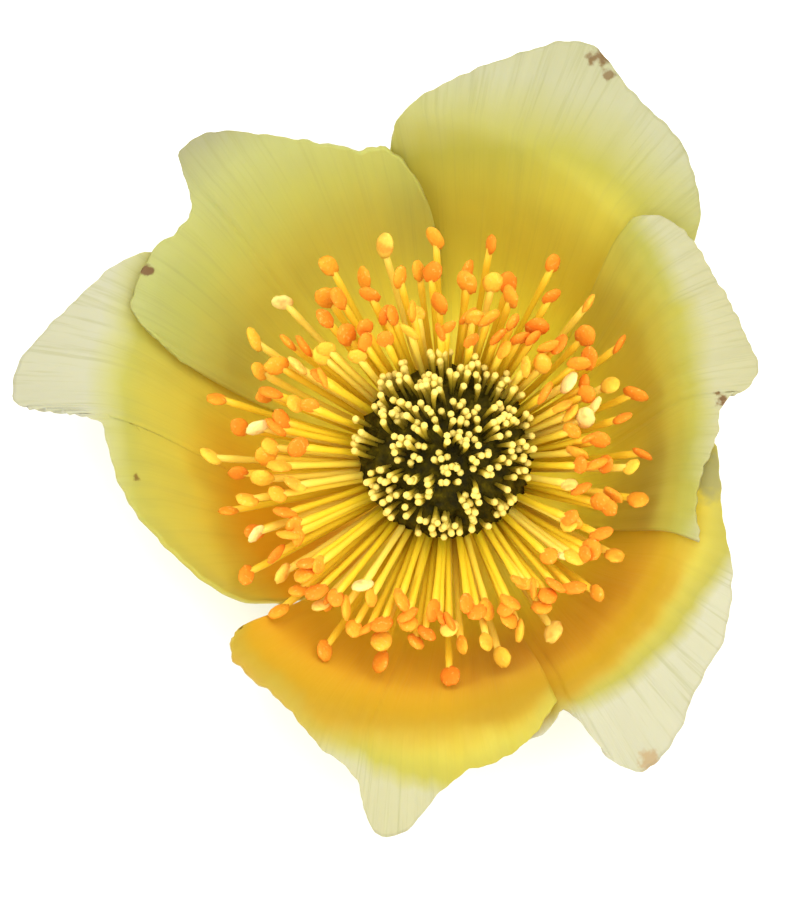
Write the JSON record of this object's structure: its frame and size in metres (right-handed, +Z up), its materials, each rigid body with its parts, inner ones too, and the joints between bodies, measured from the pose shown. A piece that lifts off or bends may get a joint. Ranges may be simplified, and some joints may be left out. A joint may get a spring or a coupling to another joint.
{
  "type": "pasqueflower blossom",
  "caption": "Open yellow cup-shaped blossom, cut under its head: broad overlapping tepals, a ring of orange-tipped stamens and a dark dome of pistils.",
  "frame": {"origin": "middle of the bounding box's underside, on the surface that the blossom lies on", "axes": "+Z up out of the open cup; +Y towards the top of the view straight down into it and +X towards the right"},
  "size_m": [0.0512, 0.0544, 0.0171],
  "materials": {
    "tepal": "satin",
    "stem": "matte",
    "stamen": "matte",
    "pistil": "matte"
  },
  "bodies": {
    "root": {"outer_tepal_1": "tepal", "inner_tepal_1": "tepal", "outer_tepal_2": "tepal", "inner_tepal_2": "tepal", "outer_tepal_3": "tepal", "inner_tepal_3": "tepal", "receptacle_and_stalk": "stem", "stamen_01": "stamen", "stamen_02": "stamen", "stamen_03": "stamen", "stamen_04": "stamen", "stamen_05": "stamen", "stamen_06": "stamen", "stamen_07": "stamen", "stamen_08": "stamen", "stamen_09": "stamen", "stamen_10": "stamen", "stamen_11": "stamen", "stamen_12": "stamen", "stamen_13": "stamen", "stamen_14": "stamen", "stamen_15": "stamen", "stamen_16": "stamen", "stamen_17": "stamen", "stamen_18": "stamen", "stamen_19": "stamen", "stamen_20": "stamen", "stamen_21": "stamen", "stamen_22": "stamen", "stamen_23": "stamen", "stamen_24": "stamen", "stamen_25": "stamen", "stamen_26": "stamen", "stamen_27": "stamen", "stamen_28": "stamen", "stamen_29": "stamen", "stamen_30": "stamen", "stamen_31": "stamen", "stamen_32": "stamen", "stamen_33": "stamen", "stamen_34": "stamen", "stamen_35": "stamen", "stamen_36": "stamen", "stamen_37": "stamen", "stamen_38": "stamen", "stamen_39": "stamen", "stamen_40": "stamen", "stamen_41": "stamen", "stamen_42": "stamen", "stamen_43": "stamen", "stamen_44": "stamen", "stamen_45": "stamen", "stamen_46": "stamen", "stamen_47": "stamen", "stamen_48": "stamen", "pistils": "pistil"}
  },
  "joints": []
}
